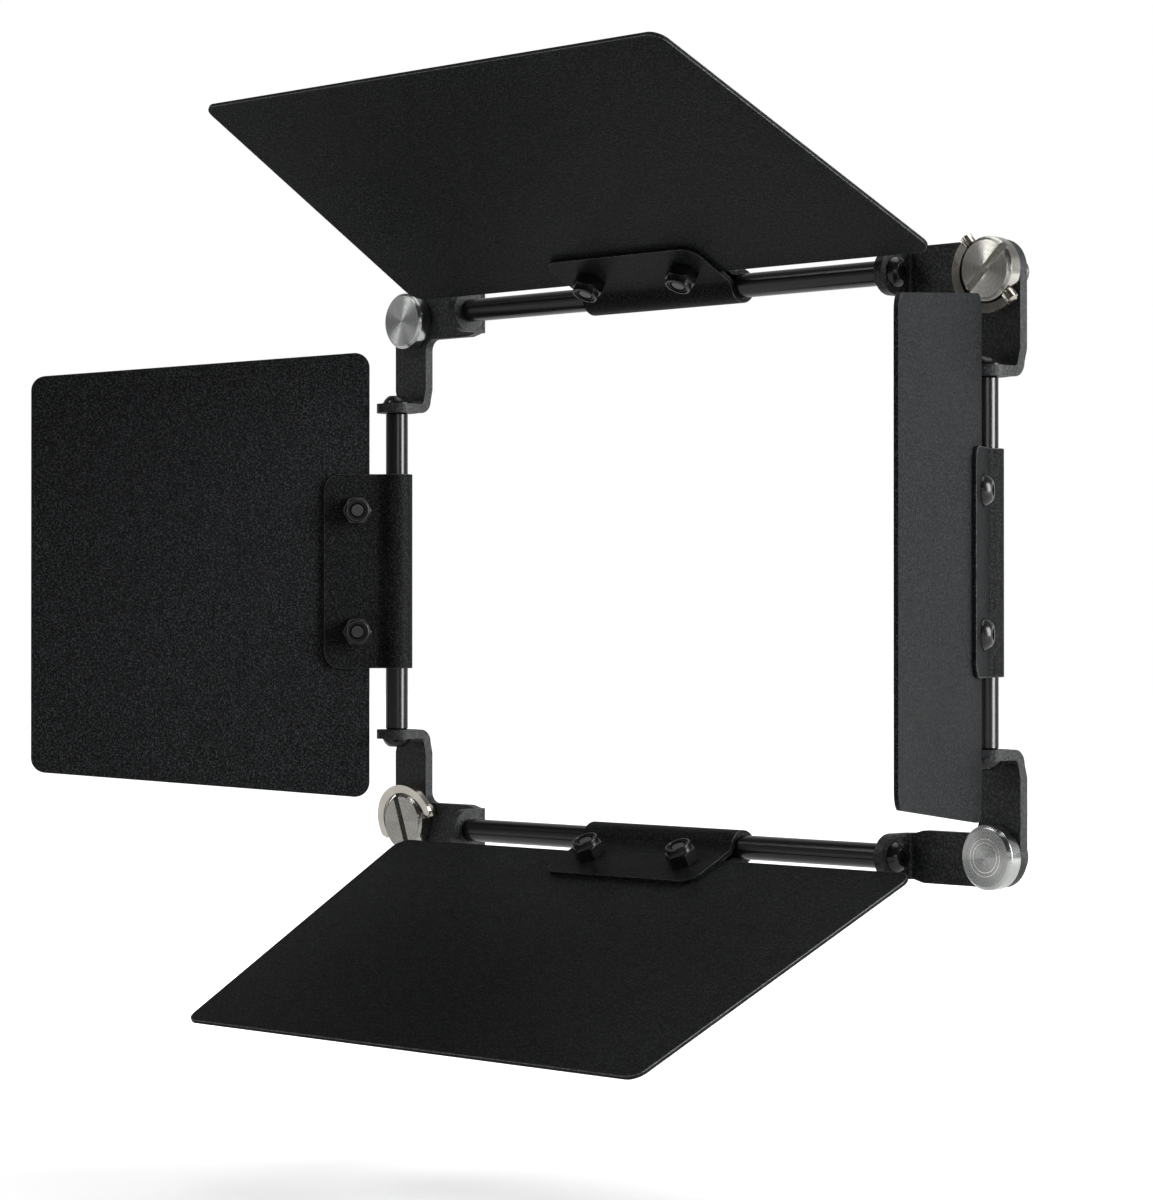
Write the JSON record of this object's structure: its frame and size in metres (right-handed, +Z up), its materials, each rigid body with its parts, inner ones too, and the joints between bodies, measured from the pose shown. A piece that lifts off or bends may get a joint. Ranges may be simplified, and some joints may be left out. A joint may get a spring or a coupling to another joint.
{
  "type": "barn door attachment",
  "caption": "Barn door attachment for a small LED panel: hinged sheet-metal flaps on rods between corner brackets, held by ring thumbscrews.",
  "frame": {"origin": "middle of the circle of the two fixing screws, in the plane where the corner brackets seat on the lamp", "axes": "+Z up, +X to the right seen from the front, +Y from the attachment towards the lamp; the light leaves towards -Y"},
  "size_m": [0.315, 0.1029, 0.2313],
  "materials": {
    "bracket_black": "black fine-texture powder coat on steel",
    "rod_black": "glossy black oxide on steel",
    "fastener_black": "glossy black zinc on steel",
    "flap_black": "black fine-texture powder coat on aluminium sheet",
    "clip_black": "black fine-texture powder coat on steel",
    "nylon_black": "black nylon",
    "screw_nickel": "turned steel, nickel plated",
    "ring_nickel": "nickel-plated steel",
    "stud_steel": "turned steel, nickel plated",
    "nose_black": "black"
  },
  "bodies": {
    "frame": {"corner_bracket_top_right": "bracket_black", "corner_bracket_bottom_left": "bracket_black", "corner_bracket_top_left": "bracket_black", "corner_bracket_bottom_right": "bracket_black", "hinge_rod_top": "rod_black", "hinge_rod_right": "rod_black", "hinge_rod_bottom": "rod_black", "hinge_rod_left": "rod_black", "rod_screws_top": "fastener_black", "rod_screws_right": "fastener_black", "rod_screws_bottom": "fastener_black", "rod_screws_left": "fastener_black", "locating_stud_bottom_right": "stud_steel", "locating_stud_top_left": "stud_steel", "stud_nose_bottom_right": "nose_black", "stud_nose_top_left": "nose_black"},
    "top_door": {"flap_top": "flap_black", "hinge_clip_top": "clip_black", "clip_screws_top": "fastener_black", "lock_nuts_top": "fastener_black", "nylon_rings_top": "nylon_black"},
    "right_door": {"flap_right": "flap_black", "hinge_clip_right": "clip_black", "clip_screws_right": "fastener_black", "lock_nuts_right": "fastener_black", "nylon_rings_right": "nylon_black"},
    "bottom_door": {"flap_bottom": "flap_black", "hinge_clip_bottom": "clip_black", "clip_screws_bottom": "fastener_black", "lock_nuts_bottom": "fastener_black", "nylon_rings_bottom": "nylon_black"},
    "left_door": {"flap_left": "flap_black", "hinge_clip_left": "clip_black", "clip_screws_left": "fastener_black", "lock_nuts_left": "fastener_black", "nylon_rings_left": "nylon_black"},
    "screw_top_right": {"thumbscrew_top_right": "screw_nickel"},
    "ring_top_right": {"folding_ring_top_right": "ring_nickel"},
    "screw_bottom_left": {"thumbscrew_bottom_left": "screw_nickel"},
    "ring_bottom_left": {"folding_ring_bottom_left": "ring_nickel"}
  },
  "joints": [
    {"name": "top_door_hinge", "type": "hinge", "parent": "frame", "child": "top_door", "pos_m": [0, -0.0075, 0.0695], "axis": [-1, 0, 0], "range_deg": [-116, 82]},
    {"name": "bottom_door_hinge", "type": "hinge", "parent": "frame", "child": "bottom_door", "pos_m": [0, -0.0075, -0.0695], "axis": [1, 0, 0], "range_deg": [-107, 83]},
    {"name": "left_door_hinge", "type": "hinge", "parent": "frame", "child": "left_door", "pos_m": [-0.104, -0.0075, 0], "axis": [0, 0, 1], "range_deg": [-74, 124]},
    {"name": "right_door_hinge", "type": "hinge", "parent": "frame", "child": "right_door", "pos_m": [0.104, -0.0075, 0], "axis": [0, 0, -1], "range_deg": [-81, 117]},
    {"name": "screw_top_right_turn", "type": "hinge", "parent": "frame", "child": "screw_top_right", "pos_m": [0.103, -0.0025, 0.0685], "axis": [0, 1, 0], "continuous": true},
    {"name": "screw_bottom_left_turn", "type": "hinge", "parent": "frame", "child": "screw_bottom_left", "pos_m": [-0.103, -0.0025, -0.0685], "axis": [0, 1, 0], "continuous": true},
    {"name": "ring_top_right_fold", "type": "hinge", "parent": "screw_top_right", "child": "ring_top_right", "pos_m": [0.103, -0.00465, 0.0685], "axis": [-0.682, 0, 0.7314], "range_deg": [-6, 174]},
    {"name": "ring_bottom_left_fold", "type": "hinge", "parent": "screw_bottom_left", "child": "ring_bottom_left", "pos_m": [-0.103, -0.00465, -0.0685], "axis": [0.9397, 0, 0.342], "range_deg": [-12, 168]}
  ]
}
